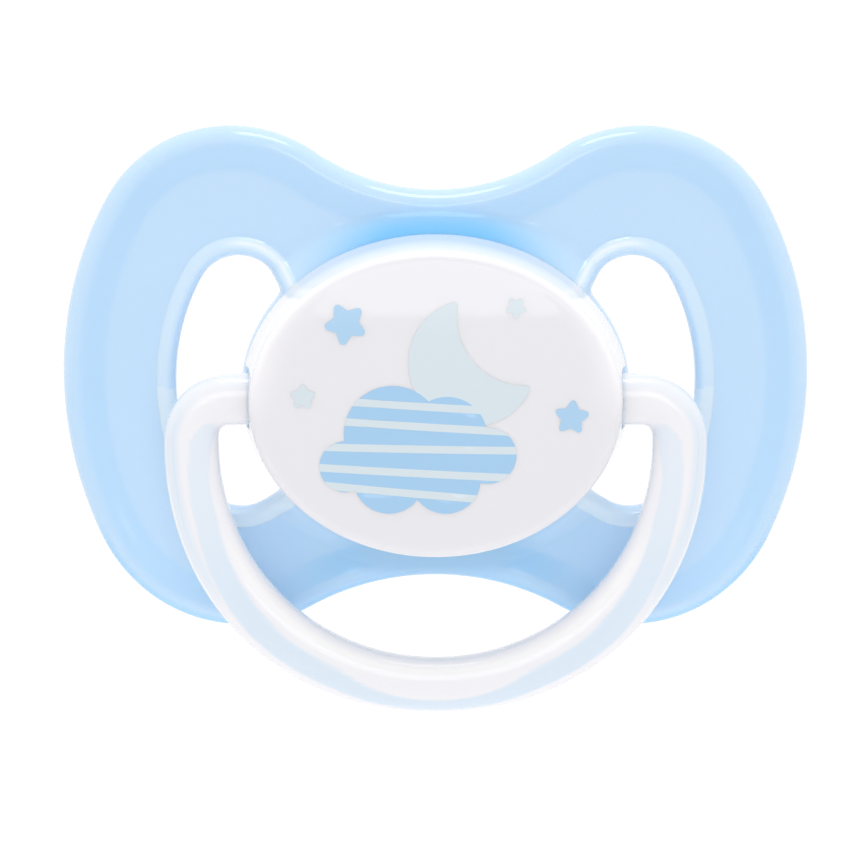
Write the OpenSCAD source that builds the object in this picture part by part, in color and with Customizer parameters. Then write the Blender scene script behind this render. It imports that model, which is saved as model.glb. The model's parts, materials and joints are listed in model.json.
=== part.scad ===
// Baby pacifier with a butterfly-shaped vented shield, a domed cover and a swinging ring handle.
// Millimetres, +Z up. The cover faces -Y and the teat points to +Y. The origin is on the teat's
// axis, at the rear face of the shield's hub.

/* [Shield] */
// Overall width across the two wings
shield_w = 56; // [54:0.5:60]
// Radius of the two upper corners of the wings
top_r = 10.9; // [10.5:0.1:11.2]
// Distance of each upper corner's centre from the middle
top_x = 15.05; // [14.8:0.05:15.3]
// Height of the top notch's lowest point above the wings' middle
top_notch = 14.4; // [14.2:0.1:14.8]
// Radius of the two lower corners of the wings
low_r = 11.3; // [11:0.1:11.6]
// Distance of each lower corner's centre from the middle
low_x = 15; // [14.8:0.05:15.2]
// Depth of the bottom notch's highest point below the wings' middle
low_notch = 14.6; // [14.4:0.1:14.9]
// Height of the wings' middle above the teat's axis
wing_lift = 0.7; // [0.5:0.05:0.8]
// Radius that the wings are bent to
bend_r = 80; // [70:1:100]
// Thickness of the plate
plate_t = 1.9; // [1.6:0.1:2.2]
// Width of the rolled rim round the outside
rim_w = 1.8; // [1.2:0.1:2.4]
// Width of the rolled lip round each vent
lip_w = 1.5; // [1:0.1:1.6]
// Height of the rim and the lips over the plate, on each face
roll_h = 0.4; // [0.2:0.1:0.5]

/* [Vents] */
// Radius of a vent's outer edge
vent_r = 16.4; // [16:0.1:16.6]
// Distance of that edge's centre from the middle
vent_x = 3; // [2.8:0.1:3.2]
// Radius of a vent's upper and lower ends
vent_end_r = 3.2; // [3:0.1:3.4]
// Distance of each end's centre from the middle
vent_end_x = 14.6; // [14.4:0.1:14.8]
// Slope of the straight edge from each end down to the hub
vent_slope = 42; // [38:1:46]
// Angle round the hub at which that edge meets it
vent_corner = 38; // [34:1:42]
// Height of the vents' middle above the teat's axis
vent_lift = 0.55; // [0.4:0.05:0.7]

/* [Hub] */
// Width of the oval hub
hub_w = 29.2; // [29:0.1:29.4]
// Height of the oval hub
hub_h = 24.4; // [24.3:0.1:24.8]
// Thickness of the hub's floor
hub_t = 2.8; // [2.6:0.1:3]
// Depth of the wall that stands on the hub's floor
wall_d = 4.3; // [4:0.1:4.5]
// Thickness of that wall
wall_t = 1.6; // [1.5:0.1:1.7]

/* [Cover] */
// Width of the oval cover, where it meets the hub
cover_w = 28.8; // [28.7:0.1:28.9]
// Height of the oval cover, where it meets the hub
cover_h = 24.1; // [24:0.1:24.2]
// Slope of the cover's skirt, in degrees
cover_slope = 6.75; // [6.5:0.25:7.25]
// Wall thickness of the cover
cover_t = 1; // [0.9:0.05:1.1]
// Depth of the cover in front of the hub, at its middle
cover_d = 6.2; // [6:0.1:7]
// Radius of the cover's domed face
dome_r = 118; // [100:1:150]
// Radius of the cover's rounded edge
edge_r = 0.8; // [0.6:0.1:1.2]

/* [Ring handle] */
// Overall width of the ring
ring_w = 40.2; // [39.6:0.2:41]
// Distance from the pivot down to the ring's lowest point
ring_drop = 23.5; // [22.5:0.5:25]
// Width of the ring's bar, seen from the front
bar_w = 3.9; // [3.6:0.1:4]
// Depth of the ring's bar, front to back
bar_d = 3.2; // [2.8:0.1:3.4]
// Rounding of the bar's four long edges
bar_round = 1.3; // [1:0.1:1.35]
// Outer radius of the ring's two upper corners
corner_r = 5; // [4.5:0.1:5.5]
// Distance of the pivot in front of the hub's rear face
pivot_d = 5; // [4.95:0.05:5.1]
// Diameter of the two pivot pins
pin_dia = 2.8; // [2.4:0.1:3]
// Radial play between a pin and its bore
pin_play = 0.05; // [0.02:0.01:0.1]

/* [Teat] */
// Diameter of the round bulb
bulb_dia = 14.4; // [13:0.2:16]
// Distance of the bulb's centre behind the hub
bulb_y = 20.5; // [19:0.5:22]
// Diameter of the neck
neck_dia = 9.2; // [9:0.1:10]
// Wall thickness of the teat
teat_wall = 1.4; // [1.2:0.1:1.5]
// Diameter of the flange that is clamped to the hub
flange_dia = 16.8; // [16:0.2:17]
// Thickness of the flange
flange_t = 1.2; // [1:0.1:1.4]

/* [Print] */
// Thickness of the printed layers on the cover
ink_t = 0.08; // [0.05:0.01:0.15]

/* [Hidden] */
$fn = 96;

gap = 0.1;                      // play between two fixed pieces
far = 60;                       // longer than anything that is cut
hub_front = -hub_t;
cover_front = hub_front - cover_d;

side_r = shield_w / 2;
outline_steps = 16;             // points along each arc of the outline
outline_turn = 2;               // one step on, where two arcs share a point

// how far the cover's skirt has come in at some depth in front of the hub
function taper(depth) = depth * tan(cover_slope);

// wall on the hub, inside the cover's skirt
wall_w = cover_w - 2 * (cover_t + gap + taper(wall_d));
wall_h = cover_h - 2 * (cover_t + gap + taper(wall_d));
wall_front = hub_front - wall_d;
lug_w = 5;                      // snap lugs that hold the cover, above and below
lug_t = 0.8;
lug_bite = 0.2;                 // how deep they reach into the skirt
lug_h = lug_bite + gap + taper(wall_d / 2);
lug_y = hub_front - wall_d / 2;

// ring handle
ring_r = ring_w / 2;
ring_z = ring_r - ring_drop;    // centre of the ring's round part
corner_x = ring_r - corner_r;
corner_z = bar_w / 2 - corner_r;
arm_x = wall_w / 2 + gap;       // where an arm's shoulder faces the wall
pin_past = 0.5;                 // how far a pin reaches past the wall, and back into its arm
pin_in_x = wall_w / 2 - wall_t - pin_past;
notch_play = 0.3;               // between an arm and the slot that it turns in
arm_reach = norm([bar_w / 2 - bar_round, bar_d / 2 - bar_round]) + bar_round;

// teat and plug, stacked in front of the hub's floor
neck_r = neck_dia / 2;
neck_flare = 1.2;               // the neck's root is that much wider, inside the hub
neck_root_r = neck_r + neck_flare;
neck_root_y = 3;
hub_hole_r = neck_root_r + gap;
flange_front = hub_front - flange_t;
plug_t = 1;
plug_front = flange_front - plug_t;
plug_stem_r = neck_r - teat_wall - gap;
plug_stem_t = 1.2;
plug_stem_end = 4;
throat_r = 8;                   // concave sweep between the neck and the bulb
tube_r = flange_dia / 2 - 0.4;  // the cover's tube that presses on the plug

// centre and radius of the moon and of the circle that bites into it, and the rounding of its two points
moon = [2.7, 3.25, 4.7];
bite = [6.6, 6.6, 5.05];
moon_tip = 0.3;
// lobes of the cloud: [x, z, radius]
cloud_lobes = [[-3.15, -2.05, 3.6], [0.85, -2.2, 2.95], [3.85, -3.65, 2.1],
               [0.75, -5.45, 2.55], [-3.45, -5.4, 2.6], [-6.65, -4.5, 1.9]];
// pale lines across the cloud: height at line_x, and slope down to the right
cloud_lines = [[0.05, 3.5], [-1.45, 3.5], [-3.15, 1], [-4.95, 3], [-6.5, 5]];
line_x = -1.5;
line_w = 0.57;
// a star's valleys and the rounding of its points, as shares of its radius
star_valley = 0.63;
star_tip = 0.19;
// stars: [x, z, radius, turn]
blue_stars = [[-6.6, 6.1, 1.55, 27], [10, -0.85, 1.27, -6]];
pale_stars = [[5.9, 7.3, 0.78, 36], [-9.75, 0.65, 0.95, 0]];
blue_ink = [0.67, 0.82, 0.94];
pale_ink = [0.81, 0.89, 0.92];

// A flat shape drawn in x and z, made solid from y0 (front) to y1 (back).
module solid_y(y0, y1) {
    translate([0, y1, 0])
        rotate([90, 0, 0])
            linear_extrude(y1 - y0)
                children();
}

// A profile drawn as radius and distance behind y = 0, turned round the teat's axis.
module turned_y() {
    rotate([-90, 0, 0])
        rotate_extrude()
            children();
}

module oval(w, h) {
    scale([w / h, 1])
        circle(d = h);
}

module mirrored_x() {
    children();
    mirror([1, 0, 0])
        children();
}

// ---- shield ----

// Half of the outline as points, from right to left: side, corner, notch, corner and side.
// The corners have radius r at x. Everything is moved inwards by inset.
function half_outline(r, x, notch, inset) =
    let (z = sqrt(pow(side_r - r, 2) - pow(x, 2)),
         notch_z = (pow(z, 2) + pow(x, 2) - pow(r - notch, 2)) / (2 * (z + r - notch)),
         notch_r = notch_z - notch + inset,
         side = atan2(z, x),
         turn = atan2(notch_z - z, -x),
         corner_r = r - inset,
         outer_r = side_r - inset)
    concat(arc([0, 0], outer_r, outer_r, 0, side, outline_steps),
           arc([x, z], corner_r, corner_r, side + outline_turn, turn, outline_steps),
           arc([0, notch_z], notch_r, notch_r,
               turn - 180 + outline_turn, -turn - outline_turn, outline_steps),
           arc([-x, z], corner_r, corner_r, 180 - turn, 180 - side - outline_turn, outline_steps),
           arc([0, 0], outer_r, outer_r, 180 - side, 180 - outline_turn, outline_steps));

// The outline, moved inwards by inset.
module wing_outline(inset = 0) {
    low = half_outline(low_r, low_x, low_notch, inset);
    translate([0, wing_lift])
        polygon(concat(half_outline(top_r, top_x, top_notch, inset), [for (p = low) -p]));
}

// Points along an arc about c, on radii a across and b up, from one angle to another.
function arc(c, a, b, from, to, steps) =
    [for (i = [0 : steps]) let (t = from + (to - from) * i / steps) [c[0] + a * cos(t), c[1] + b * sin(t)]];

// One vent on the right, moved outwards by grow. Its inner side follows the hub.
module vent_outline(grow = 0) {
    end_z = sqrt(pow(vent_r - vent_end_r, 2) - pow(vent_end_x - vent_x, 2));
    meet = atan2(end_z, vent_end_x - vent_x);
    past_meet = meet + 6;       // one step on, because the wide arc already holds the meeting point
    last = 90 + vent_slope;
    end_r = vent_end_r + grow;
    long_steps = 24;
    end_steps = 12;
    translate([0, vent_lift])
        polygon(concat(
            arc([vent_x, 0], vent_r + grow, vent_r + grow, -meet, meet, long_steps),
            arc([vent_end_x, end_z], end_r, end_r, past_meet, last, end_steps),
            arc([0, -vent_lift], hub_w / 2 - gap - grow, hub_h / 2 - gap - grow,
                vent_corner, -vent_corner, long_steps),
            arc([vent_end_x, -end_z], end_r, end_r, -last, -past_meet, end_steps)));
}

// The bent sheet in which the plate, the rim and the lips lie.
module bent_sheet(front, back) {
    translate([0, bend_r, 0])
        difference() {
            cylinder(r = bend_r + front, h = far, center = true, $fn = 240);
            cylinder(r = bend_r - back, h = far + 1, center = true, $fn = 240);
        }
}

module bent(front, back) {
    intersection() {
        bent_sheet(front, back);
        solid_y(-far / 4, far / 4)
            children();
    }
}

module shield() {
    color([0.71, 0.85, 0.97])
    difference() {
        union() {
            bent(plate_t, 0)
                wing_outline();
            bent(plate_t + roll_h, roll_h)
                difference() {
                    wing_outline();
                    wing_outline(rim_w);
                }
            mirrored_x()
                bent(plate_t + roll_h, roll_h)
                    vent_outline(lip_w);
            solid_y(hub_front, 0)
                oval(hub_w, hub_h);
            solid_y(wall_front, hub_front)
                difference() {
                    oval(wall_w, wall_h);
                    oval(wall_w - 2 * wall_t, wall_h - 2 * wall_t);
                }
            for (sz = [-1, 1])
                translate([0, lug_y, sz * wall_h / 2])
                    cube([lug_w, lug_t, 2 * lug_h], center = true);
        }
        mirrored_x()
            solid_y(-far / 4, far / 4)
                vent_outline();
        rotate([90, 0, 0])
            cylinder(r = hub_hole_r, h = far, center = true);
        translate([0, -pivot_d, 0])
            rotate([0, 90, 0])
                cylinder(r = pin_dia / 2 + pin_play, h = far, center = true);
    }
}

// ---- teat and plug ----

// Neck, throat and bulb, with every wall moved inwards by inset.
module bulb_profile(inset) {
    r_bulb = bulb_dia / 2 - inset;
    r_neck = neck_r - inset;
    r_throat = throat_r + inset;
    throat_x = neck_r + throat_r;
    throat_y = bulb_y - sqrt(pow(bulb_dia / 2 + throat_r, 2) - pow(throat_x, 2));
    meet = r_bulb / (r_bulb + r_throat);
    meet_x = throat_x * meet;
    meet_y = bulb_y + (throat_y - bulb_y) * meet;
    intersection() {
        translate([0, bulb_y])
            circle(r = r_bulb);
        square([far, far]);
    }
    difference() {
        square([meet_x, meet_y]);
        translate([throat_x, throat_y])
            circle(r = r_throat);
        translate([r_neck, -1])
            square([far, throat_y + 1]);
    }
}

module teat() {
    color([0.96, 0.93, 0.85])
    turned_y()
        difference() {
            union() {
                bulb_profile(0);
                polygon([[0, hub_front], [neck_root_r, hub_front], [neck_root_r, 0],
                         [neck_r, neck_root_y], [0, neck_root_y]]);
                translate([0, flange_front])
                    square([flange_dia / 2, flange_t]);
            }
            bulb_profile(teat_wall);
            translate([0, flange_front - 1])
                square([neck_r - teat_wall, 1 - flange_front + 1]);
        }
}

module plug() {
    color([0.93, 0.94, 0.95])
    turned_y()
        difference() {
            union() {
                translate([0, plug_front])
                    square([flange_dia / 2 + gap, plug_t]);
                translate([0, plug_front])
                    square([plug_stem_r, plug_stem_end - plug_front]);
            }
            translate([0, plug_front + plug_t])
                square([plug_stem_r - plug_stem_t, far]);
        }
}

// ---- ring handle ----

module bar_section() {
    w = bar_w - 2 * bar_round;
    d = bar_d - 2 * bar_round;
    square([bar_w, d], center = true);
    square([w, bar_d], center = true);
    for (sx = [-1, 1], sy = [-1, 1])
        translate([sx * w / 2, sy * d / 2])
            circle(r = bar_round);
}

// The bar swept through an angle, in the plane of the ring.
module bar_arc(r, from, sweep) {
    rotate([90, 0, 0])
        rotate_extrude(angle = sweep, start = from)
            translate([r - bar_w / 2, 0])
                bar_section();
}

module ring_handle() {
    straight = corner_z - ring_z;
    color([0.93, 0.94, 0.98])
    translate([0, -pivot_d, 0]) {
        translate([0, 0, ring_z])
            bar_arc(ring_r, 180, 180);
        mirrored_x() {
            if (straight > 0)
                translate([ring_r - bar_w / 2, 0, ring_z])
                    linear_extrude(straight)
                        bar_section();
            translate([corner_x, 0, corner_z])
                bar_arc(corner_r, 0, 90);
            translate([arm_x, 0, 0])
                rotate([0, 90, 0])
                    linear_extrude(corner_x - arm_x)
                        bar_section();
            translate([pin_in_x, 0, 0])
                rotate([0, 90, 0])
                    cylinder(d = pin_dia, h = arm_x - pin_in_x + pin_past);
        }
    }
}

// ---- cover ----

module dome(inset) {
    translate([0, cover_front + dome_r, 0])
        sphere(r = dome_r - inset, $fn = 360);
}

// The oval button shape, with every wall moved inwards by inset. Its skirt slopes in to a round edge.
module button(inset, back) {
    w = cover_w - 2 * inset;
    h = cover_h - 2 * inset;
    front = cover_front + inset;
    skirt_front = front + edge_r * (1 - sin(cover_slope));
    edge_x = h / 2 - taper(hub_front - skirt_front) - edge_r * cos(cover_slope);
    edge_steps = 12;
    intersection() {
        scale([w / h, 1, 1])
            rotate([-90, 0, 0])
                rotate_extrude()
                    polygon(concat(
                        [[0, back], [0, front]],
                        arc([edge_x, front + edge_r], edge_r, edge_r, -90, -cover_slope, edge_steps),
                        [[h / 2 + taper(back - hub_front), back]]));
        dome(inset);
    }
}

module cover() {
    color([0.94, 0.94, 0.96])
    difference() {
        union() {
            difference() {
                button(0, hub_front);
                button(cover_t, hub_front + 1);
            }
            intersection() {
                dome(cover_t / 2);
                turned_y()
                    translate([tube_r - cover_t, cover_front - 1])
                        square([cover_t, plug_front - cover_front + 1]);
            }
        }
        // a rounded slot in each side of the skirt lets the ring's arms turn
        translate([0, -pivot_d, 0])
            mirrored_x()
                translate([wall_w / 2 - wall_t, 0, 0])
                    rotate([0, 90, 0]) {
                        cylinder(r = arm_reach + notch_play, h = far);
                        translate([-arm_reach - notch_play, 0, 0])
                            cube([2 * (arm_reach + notch_play), far, far]);
                    }
        for (sz = [-1, 1])
            translate([0, lug_y, sz * wall_h / 2])
                cube([lug_w + 4 * gap, lug_t + 2 * gap, 2 * (lug_h + gap)], center = true);
    }
}

// ---- print on the cover ----

// A flat drawing as a slab, deep enough to hold the domed face.
module slab() {
    solid_y(cover_front - cover_t, cover_front + 1.5 * cover_t)
        children();
}

// Keeps the thin layer of a slab that lies on the face.
module printed() {
    difference() {
        intersection() {
            children();
            dome(-ink_t);
        }
        dome(0);
    }
}

// A five-pointed star with rounded points. Its points reach r from the middle.
module star(r, turn) {
    tip_r = r * star_tip;
    tip_x = r - tip_r;
    valley = [cos(36), sin(36)] * r * star_valley;
    reach = norm([tip_x, 0] - valley);
    round_to = 90 + atan2(-valley[1], tip_x - valley[0]) + asin(tip_r / reach);
    point = concat(arc([tip_x, 0], tip_r, tip_r, -round_to, round_to, 8), [valley]);
    rotate(90 + turn)
        polygon([for (i = [0 : 4], p = point)
                 [p[0] * cos(72 * i) - p[1] * sin(72 * i),
                  p[0] * sin(72 * i) + p[1] * cos(72 * i)]]);
}

// The crescent: one outline of four arcs, so that its two points are round.
module crescent() {
    d = norm([bite[0] - moon[0], bite[1] - moon[1]]);
    lean = atan2(bite[1] - moon[1], bite[0] - moon[0]);
    reach = moon[2] - moon_tip;
    clear = bite[2] + moon_tip;
    along = (reach * reach - clear * clear + d * d) / (2 * d);
    aside = sqrt(reach * reach - along * along);
    open = atan2(aside, along);
    inner = atan2(aside, along - d);
    tip_steps = 8;
    side_steps = 48;
    translate([moon[0], moon[1]])
        rotate(lean)
            polygon(concat(
                arc([0, 0], moon[2], moon[2], open, 360 - open, side_steps),
                arc([along, -aside], moon_tip, moon_tip, 360 - open, 540 - inner, tip_steps),
                arc([d, 0], bite[2], bite[2], 360 - inner, inner, side_steps),
                arc([along, aside], moon_tip, moon_tip, inner - 180, open, tip_steps)));
}

module cloud_shape() {
    for (lobe = cloud_lobes)
        slab()
            translate([lobe[0], lobe[1]])
                circle(r = lobe[2]);
    slab()
        polygon([for (lobe = cloud_lobes) [lobe[0], lobe[1]]]);
}

module cloud_bars() {
    for (line = cloud_lines)
        translate([line_x, cover_front, line[0]])
            rotate([0, line[1], 0])
                cube([far, 4 * cover_t, line_w], center = true);
}

module cloud_print() {
    color(blue_ink)
    printed()
        difference() {
            cloud_shape();
            cloud_bars();
        }
}

module cloud_line_print() {
    color(pale_ink)
    printed()
        intersection() {
            cloud_shape();
            cloud_bars();
        }
}

module moon_print() {
    color(pale_ink)
    printed()
        difference() {
            slab()
                crescent();
            cloud_shape();
        }
}

module star_prints(stars) {
    for (s = stars)
        printed()
            slab()
                translate([s[0], s[1]])
                    star(s[2], s[3]);
}

module blue_star_prints() {
    color(blue_ink)
        star_prints(blue_stars);
}

module pale_star_prints() {
    color(pale_ink)
        star_prints(pale_stars);
}

shield();
teat();
plug();
ring_handle();
cover();
cloud_print();
cloud_line_print();
moon_print();
blue_star_prints();
pale_star_prints();
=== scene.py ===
import json
import math

import bmesh
import bpy
import numpy as np
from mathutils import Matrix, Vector, geometry


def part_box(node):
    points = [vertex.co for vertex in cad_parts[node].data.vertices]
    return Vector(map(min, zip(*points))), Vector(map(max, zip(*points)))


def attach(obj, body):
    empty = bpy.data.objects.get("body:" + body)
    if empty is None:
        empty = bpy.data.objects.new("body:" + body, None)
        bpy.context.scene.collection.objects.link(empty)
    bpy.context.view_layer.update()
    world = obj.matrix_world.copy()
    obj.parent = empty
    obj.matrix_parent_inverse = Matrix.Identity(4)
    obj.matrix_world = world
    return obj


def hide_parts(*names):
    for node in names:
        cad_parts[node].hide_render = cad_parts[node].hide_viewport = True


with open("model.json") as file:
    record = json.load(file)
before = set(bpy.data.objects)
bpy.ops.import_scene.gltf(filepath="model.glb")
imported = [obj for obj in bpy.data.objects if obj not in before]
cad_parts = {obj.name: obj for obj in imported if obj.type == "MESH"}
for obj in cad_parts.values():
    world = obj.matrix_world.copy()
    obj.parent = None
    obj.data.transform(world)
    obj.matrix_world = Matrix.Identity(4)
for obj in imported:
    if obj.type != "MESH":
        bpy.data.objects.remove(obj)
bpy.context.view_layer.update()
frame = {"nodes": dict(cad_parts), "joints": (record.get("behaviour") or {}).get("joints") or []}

# All shapes below are worked out in millimetres, in the frame of the CAD part: +X across the wings, +Y back
# along the teat, +Z up. MM turns them into metres when a mesh is made.
MM = 0.001
# A lathed profile stops this far from its axis, so that no face has a side of no length
AXIS_R = 0.001


def box_mm(node):
    low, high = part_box(node)
    return np.array(low) / MM, np.array(high) / MM


SHIELD_LOW, SHIELD_HIGH = box_mm("shield")
COVER_LOW, COVER_HIGH = box_mm("cover")
RING_LOW, RING_HIGH = box_mm("ring_handle")
TEAT_LOW, TEAT_HIGH = box_mm("teat")
PIVOT = np.array(frame["joints"][0]["pos_m"]) / MM

# Shield. Above and below its middle the outline is a side arc, a corner arc of radius R whose centre is X
# from the middle line, and a notch that comes to NOTCH from the middle. WING_LIFT raises the whole outline.
SIDE_R = SHIELD_HIGH[0]
TOP_R, TOP_X, TOP_NOTCH = 10.9, 15.05, 14.4
LOW_R, LOW_X, LOW_NOTCH = 11.3, 15.0, 14.6
WING_LIFT = 0.697
BEND_R = 80.0
PLATE_T = 1.9
# The rolled rim: where it starts, how wide it and its rounded edge are, how far it stands out
RIM_TOP = 0.8
RIM_CREASE = 3.5
RIM_BAND = 3.9
RIM_ROUND = 1.25
RIM_UP = 0.4
RIM_BACK = 0.35
# The rolled lip round each vent
LIP_W = 1.5
LIP_ROUND = 0.75
LIP_UP = 0.5
LIP_BACK = 0.35
LIP_POWER = 0.6
# Each vent: the outer arc, the two end arcs, and the arc that follows the hub
VENT_R = 16.4
VENT_X = 3.0
VENT_END_R = 3.2
VENT_END_X = 14.6
VENT_SLOPE = math.radians(42)
VENT_CORNER = math.radians(38)
VENT_LIFT = 0.55
VENT_SOFTNESS = 0.4
VENT_GAP = 0.1
# The oval hub, its hole, and the wall on it with the bores for the ring's pins
HUB_A = 14.6
HUB_B = 12.2
HUB_T = 2.8
HUB_FILLET = (-0.5, 1.8)
HUB_BACK_FILLET = (-0.6, 0.2)
HUB_HOLE_R = 5.9
HOLE_ROUND = 0.3
WALL_T = 1.6
WALL_D = 4.3
WALL_ROUND = 0.25
PIN_R = 1.4
PIN_PLAY = 0.05
BORE_REACH = 20

# Teat
TEAT_WALL = 1.4
BULB_R = 7.2
NECK_R = 4.6
THROAT_R = 8.0
NECK_FLARE = 1.2
FLARE_FROM, FLARE_LONG = -0.2, 4.2
FLANGE_ROUND = 0.3

# Ring. The bar runs out from the hub, turns down at a corner and goes round the bottom. The powers are those
# of the superellipses that its edges and its section follow.
HALF_ARM = 1.9
CORNER_X, CORNER_Z = 15.05, -3.1
RING_INNER_X = 16.05
BOTTOM_BAR = 4.0
CORNER_POWER = 3
OUTER_POWER, INNER_POWER = 2.12, 2.03
BAR_POWER = 2.7
ARM_IN = 0.1
PIN_IN_ARM = 0.3
PIN_PAST = 0.5
PIN_ROUND = 0.4

# Cover. COVER_A and COVER_B are the half-axes of its skirt's foot, before the slots are cut.
COVER_A = 14.4
COVER_B = COVER_HIGH[2]
COVER_FRONT = COVER_LOW[1]
DOME_R = 118.0
COVER_EDGE = 0.8
COVER_SLOPE = math.radians(6.75)
COVER_T = 1.0
COVER_DEEP = 4.6
COVER_PLAY = 0.1
SLOT_R = 2.27
SLOT_BACK = 2.0
SLOT_OUT = 16.0
WALL_IN = COVER_T + COVER_PLAY + WALL_D * math.tan(COVER_SLOPE)

# Mesh fineness: points along each outline, and steps across each rounded edge
RIM_POINTS, RIM_STEPS = 720, 11
VENT_POINTS, VENT_STEPS = 300, 9
HOLE_POINTS, HOLE_STEPS = 120, 4
PLATE_PITCH = 0.55
PLATE_CLEAR = 0.3
WALL_POINTS = 160
BORE_POINTS = 48
TEAT_POINTS = 128
BAR_POINTS = 96
COVER_POINTS = 240
INK_PITCH = 0.5
SIDE_STEPS, CORNER_STEPS, END_STEPS = 100, 200, 60
THROAT_STEPS, BULB_STEPS = 24, 48
ARM_STEPS, BEND_STEPS, BOTTOM_STEPS, PIN_STEPS = 12, 60, 120, 6
FACE_STEPS, EDGE_STEPS, SLOT_STEPS = 26, 14, 33
MOON_STEPS, BITE_STEPS, TIP_STEPS, DISC_STEPS = 80, 60, 9, 96


# ---- meshes ----

def new_piece(name, verts, faces, material, sharp=None):
    """A smooth mesh object from points in millimetres, with sharp edges over an angle in degrees."""
    mesh = bpy.data.meshes.new(name)
    points = [tuple(float(c) * MM for c in v) for v in verts]
    mesh.from_pydata(points, [], [tuple(map(int, f)) for f in faces])
    mesh.validate()
    piece = bpy.data.objects.new(name, mesh)
    bpy.context.scene.collection.objects.link(piece)
    bm = bmesh.new()
    bm.from_mesh(mesh)
    bmesh.ops.recalc_face_normals(bm, faces=bm.faces)
    bm.to_mesh(mesh)
    bm.free()
    finish_shading(piece, sharp)
    mesh.materials.append(material)
    return piece


def store(piece, tones):
    """Keeps one number per point under each name, for the piece's material."""
    for name, values in tones.items():
        layer = piece.data.attributes.new(name, "FLOAT", "POINT")
        layer.data.foreach_set("value", np.ravel(values).astype(np.float32))


def finish_shading(piece, sharp):
    """Smooth shading, but for the edges over the angle sharp."""
    mesh = piece.data
    mesh.polygons.foreach_set("use_smooth", [True] * len(mesh.polygons))
    if sharp is not None:
        mesh.set_sharp_from_angle(angle=math.radians(sharp))


def grid_faces(rows, cols, close_rows=False, close_cols=False, start=0):
    """Quads between rows of points that follow one another in a vertex list."""
    faces = []
    for i in range(rows if close_rows else rows - 1):
        for j in range(cols if close_cols else cols - 1):
            a = start + i * cols + j
            b = start + i * cols + (j + 1) % cols
            c = start + ((i + 1) % rows) * cols + (j + 1) % cols
            d = start + ((i + 1) % rows) * cols + j
            faces.append((a, b, c, d))
    return faces


def lathe(name, profile, material, sharp=30, steps=TEAT_POINTS):
    """Turns a closed profile of (radius, y) points round the teat's axis."""
    turn = np.linspace(0, 2 * math.pi, steps, endpoint=False)
    verts = [(r * math.cos(t), y, r * math.sin(t)) for r, y in profile for t in turn]
    faces = grid_faces(len(profile), steps, close_rows=True, close_cols=True)
    return new_piece(name, verts, faces, material, sharp)


def cut(piece, cutter):
    """Takes the cutter's shape out of the piece for good."""
    boolean = piece.modifiers.new("cut", "BOOLEAN")
    boolean.operation = "DIFFERENCE"
    boolean.solver = "EXACT"
    boolean.object = cutter
    graph = bpy.context.evaluated_depsgraph_get()
    mesh = bpy.data.meshes.new_from_object(piece.evaluated_get(graph))
    # the faces round a cut are concave, so they are split into triangles
    work = bmesh.new()
    work.from_mesh(mesh)
    many_sided = [face for face in work.faces if len(face.verts) > 4]
    bmesh.ops.triangulate(work, faces=many_sided, ngon_method="EAR_CLIP")
    work.to_mesh(mesh)
    work.free()
    piece.modifiers.clear()
    old = piece.data
    piece.data = mesh
    bpy.data.meshes.remove(old)
    bpy.data.objects.remove(cutter)


def arc(centre, a, b, start, end, steps):
    """Points (x, z) along an arc with radii a across and b up."""
    t = np.linspace(start, end, steps)
    return np.stack([centre[0] + a * np.cos(t), centre[1] + b * np.sin(t)], 1)


def resample(loop, count):
    """The closed loop with count points, evenly spaced along it."""
    closed = np.vstack([loop, loop[:1]])
    run = np.concatenate([[0], np.cumsum(np.linalg.norm(np.diff(closed, axis=0), axis=1))])
    at = np.linspace(0, run[-1], count, endpoint=False)
    return np.stack([np.interp(at, run, closed[:, k]) for k in range(2)], 1)


def soften(loop, width):
    """Rounds a closed loop's corners by a Gaussian of that width along it."""
    step = np.linalg.norm(loop[1] - loop[0])
    reach = int(4 * width / step)
    weights = np.exp(-0.5 * (np.arange(-reach, reach + 1) * step / width) ** 2)
    weights /= weights.sum()
    return sum(w * np.roll(loop, -k, axis=0) for w, k in zip(weights, range(-reach, reach + 1)))


def outward(loop):
    """Unit normals that point out of a closed loop that runs anticlockwise."""
    along = np.roll(loop, -1, axis=0) - np.roll(loop, 1, axis=0)
    along /= np.linalg.norm(along, axis=1, keepdims=True)
    return np.stack([along[:, 1], -along[:, 0]], 1)


def distance_to(loop, points):
    """Distance of each point to a closed loop."""
    a, b = loop, np.roll(loop, -1, axis=0)
    d = b - a
    length2 = (d ** 2).sum(1)
    nearest = np.full(len(points), np.inf)
    # in batches, to save memory
    batch = 2000
    for k in range(0, len(points), batch):
        p = points[k:k + batch, None, :]
        t = np.clip(((p - a) * d).sum(2) / length2, 0, 1)
        gap = p - (a + t[..., None] * d)
        nearest[k:k + batch] = np.sqrt((gap ** 2).sum(2)).min(1)
    return nearest


def bump(value, centre, width):
    """A soft peak of height 1."""
    return np.exp(-((value - centre) / width) ** 2)


def inside(loop, points):
    """Whether each point lies within a closed loop."""
    x, z = points[:, 0], points[:, 1]
    hit = np.zeros(len(points), bool)
    for (x0, z0), (x1, z1) in zip(loop, np.roll(loop, -1, axis=0)):
        if z0 != z1:
            crosses = (z0 > z) != (z1 > z)
            hit ^= crosses & (x < (x1 - x0) * (z - z0) / (z1 - z0) + x0)
    return hit


def ease(low, high, value):
    """Rises smoothly from 0 at low to 1 at high."""
    t = np.clip((value - low) / (high - low), 0, 1)
    return t * t * (3 - 2 * t)


# ---- shield ----

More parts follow.
